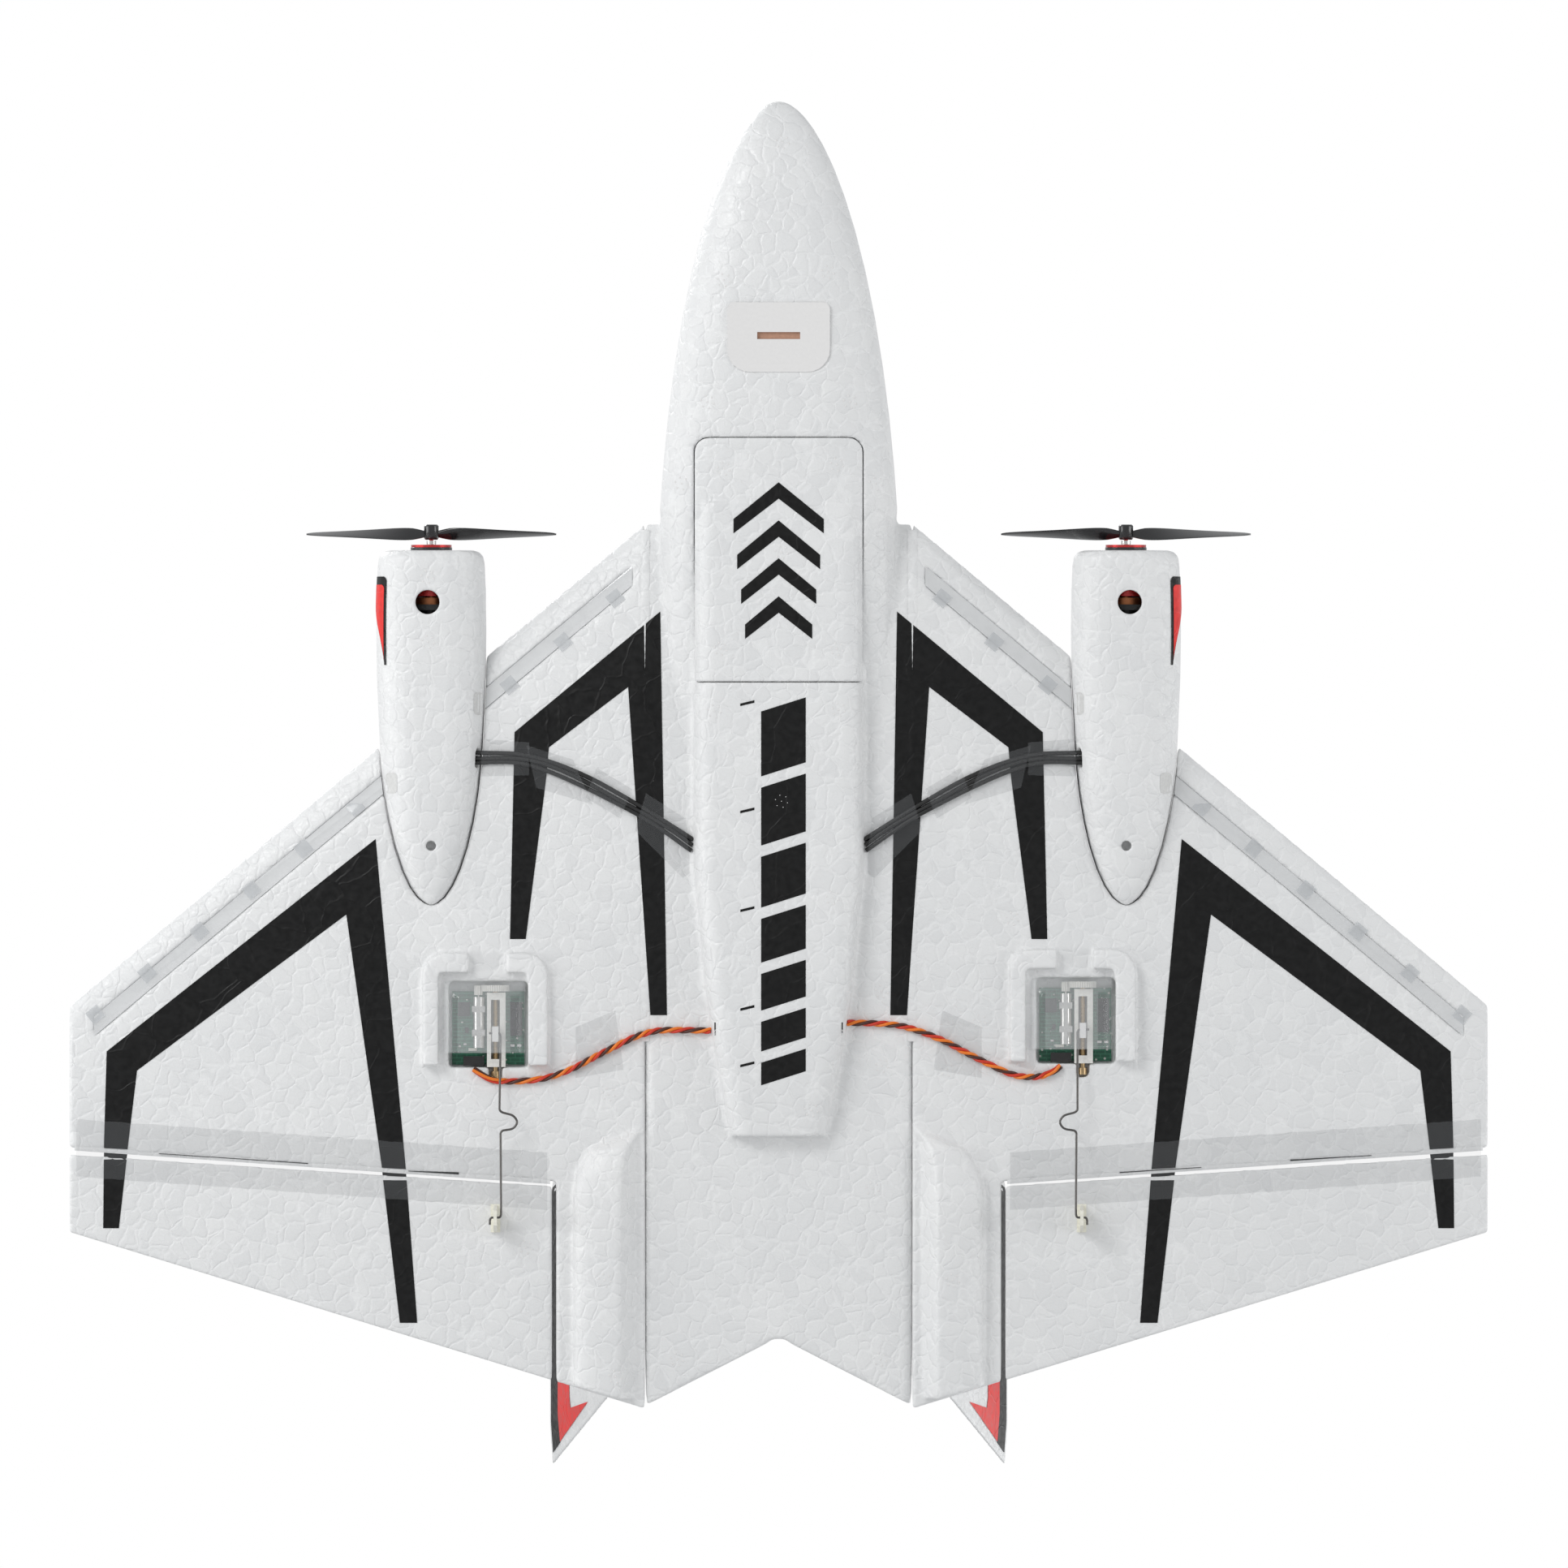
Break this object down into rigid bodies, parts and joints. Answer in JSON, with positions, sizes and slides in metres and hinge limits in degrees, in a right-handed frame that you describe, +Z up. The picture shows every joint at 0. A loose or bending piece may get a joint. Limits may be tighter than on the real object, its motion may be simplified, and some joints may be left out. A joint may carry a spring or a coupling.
{
  "type": "radio control flying wing",
  "caption": "White foam radio control delta that stands on its tail, with two nose propellers, tape-hinged elevons, linear servos, canted fins and a battery hatch.",
  "frame": {"origin": "middle of the bounding box, on the surface that the belly rests on", "axes": "nose towards -Y, wing span along X, +Z up through the canopy"},
  "size_m": [0.5034, 0.4856, 0.094],
  "materials": {
    "foam": "satin",
    "white_plastic": "satin",
    "clear_film": "gloss",
    "battery_wrap": "gloss",
    "strap": "matte",
    "circuit": "satin",
    "black_plastic": "satin",
    "winding": "satin",
    "bell": "gloss",
    "steel": "polished",
    "cable": "satin",
    "brass": "polished",
    "lead_wire": "satin",
    "wire": "polished",
    "cream_plastic": "satin"
  },
  "bodies": {
    "root": {"centre_body": "foam", "canopy": "foam", "left_wing": "foam", "right_wing": "foam", "left_fin": "foam", "right_fin": "foam", "left_nacelle_lower": "foam", "right_nacelle_lower": "foam", "left_nacelle_upper": "foam", "right_nacelle_upper": "foam", "nose_plate": "white_plastic", "left_edge_strip": "clear_film", "right_edge_strip": "clear_film", "battery": "battery_wrap", "battery_strap": "strap", "flight_board": "circuit", "speed_controllers": "circuit", "left_motor_mount": "black_plastic", "right_motor_mount": "black_plastic", "left_stator": "winding", "right_stator": "winding", "left_motor_cables": "cable", "right_motor_cables": "cable", "left_servo_board": "circuit", "right_servo_board": "circuit", "left_servo_motor": "steel", "right_servo_motor": "steel", "left_rail_frame": "white_plastic", "right_rail_frame": "white_plastic", "left_servo_cover": "clear_film", "right_servo_cover": "clear_film", "left_servo_plug": "black_plastic", "right_servo_plug": "black_plastic", "left_servo_lead": "lead_wire", "right_servo_lead": "lead_wire"},
    "left_elevon_body": {"left_elevon": "foam", "left_horn": "cream_plastic"},
    "left_rotor": {"left_motor_bell": "bell", "left_collar": "steel", "left_propeller": "black_plastic"},
    "left_screw": {"left_lead_screw": "brass", "left_screw_gear": "white_plastic"},
    "left_pinion_body": {"left_pinion": "white_plastic"},
    "left_slider": {"left_carriage": "white_plastic"},
    "left_rod": {"left_pushrod": "wire"},
    "right_elevon_body": {"right_elevon": "foam", "right_horn": "cream_plastic"},
    "right_rotor": {"right_motor_bell": "bell", "right_collar": "steel", "right_propeller": "black_plastic"},
    "right_screw": {"right_lead_screw": "brass", "right_screw_gear": "white_plastic"},
    "right_pinion_body": {"right_pinion": "white_plastic"},
    "right_slider": {"right_carriage": "white_plastic"},
    "right_rod": {"right_pushrod": "wire"},
    "hatch": {"battery_hatch": "foam"}
  },
  "joints": [
    {"name": "left_elevon_hinge", "type": "hinge", "parent": "root", "child": "left_elevon_body", "pos_m": [-0.0805, 0.1407, 0.01516], "axis": [0.9974, 0.0699, -0.0164], "range_deg": [-20, 20]},
    {"name": "left_carriage_slide", "type": "slide", "parent": "root", "child": "left_slider", "axis": [0, 1, 0], "range_m": [-0.0034, 0.0034]},
    {"name": "left_screw_spin", "type": "hinge", "parent": "root", "child": "left_screw", "pos_m": [-0.1005, 0.0711, 0.01608], "axis": [0, 1, 0], "range_deg": [-590, 590]},
    {"name": "left_pinion_spin", "type": "hinge", "parent": "root", "child": "left_pinion_body", "pos_m": [-0.1065, 0.0711, 0.01608], "axis": [0, 1, 0], "range_deg": [-2120, 2120]},
    {"name": "left_rod_tilt", "type": "hinge", "parent": "left_slider", "child": "left_rod", "pos_m": [-0.1005, 0.0881, 0.01018], "axis": [1, 0, 0], "range_deg": [-5, 5]},
    {"name": "left_prop_spin", "type": "hinge", "parent": "root", "child": "left_rotor", "pos_m": [-0.1233, -0.0852, 0.021], "axis": [0, 1, 0], "continuous": true},
    {"name": "right_elevon_hinge", "type": "hinge", "parent": "root", "child": "right_elevon_body", "pos_m": [0.0805, 0.1407, 0.01516], "axis": [0.9974, -0.0699, 0.0164], "range_deg": [-20, 20]},
    {"name": "right_carriage_slide", "type": "slide", "parent": "root", "child": "right_slider", "axis": [0, 1, 0], "range_m": [-0.0034, 0.0034]},
    {"name": "right_screw_spin", "type": "hinge", "parent": "root", "child": "right_screw", "pos_m": [0.1079, 0.0698, 0.01608], "axis": [0, 1, 0], "range_deg": [-590, 590]},
    {"name": "right_pinion_spin", "type": "hinge", "parent": "root", "child": "right_pinion_body", "pos_m": [0.1019, 0.0698, 0.01608], "axis": [0, 1, 0], "range_deg": [-2120, 2120]},
    {"name": "right_rod_tilt", "type": "hinge", "parent": "right_slider", "child": "right_rod", "pos_m": [0.1079, 0.0868, 0.01018], "axis": [1, 0, 0], "range_deg": [-5, 5]},
    {"name": "right_prop_spin", "type": "hinge", "parent": "root", "child": "right_rotor", "pos_m": [0.1233, -0.0852, 0.021], "axis": [0, 1, 0], "continuous": true},
    {"name": "hatch_lift", "type": "slide", "parent": "root", "child": "hatch", "axis": [0, 0, -1], "range_m": [0, 0.03]}
  ],
  "couplings": [
    {"joint": "left_carriage_slide", "follows": "left_elevon_hinge", "m_per_rad": 0.0093106},
    {"joint": "left_screw_spin", "follows": "left_elevon_hinge", "ratio": 29.25},
    {"joint": "left_pinion_spin", "follows": "left_elevon_hinge", "ratio": -105.3},
    {"joint": "left_rod_tilt", "follows": "left_elevon_hinge", "ratio": 0.1975},
    {"joint": "right_carriage_slide", "follows": "right_elevon_hinge", "m_per_rad": 0.0093106},
    {"joint": "right_screw_spin", "follows": "right_elevon_hinge", "ratio": 29.25},
    {"joint": "right_pinion_spin", "follows": "right_elevon_hinge", "ratio": -105.3},
    {"joint": "right_rod_tilt", "follows": "right_elevon_hinge", "ratio": 0.1975}
  ]
}
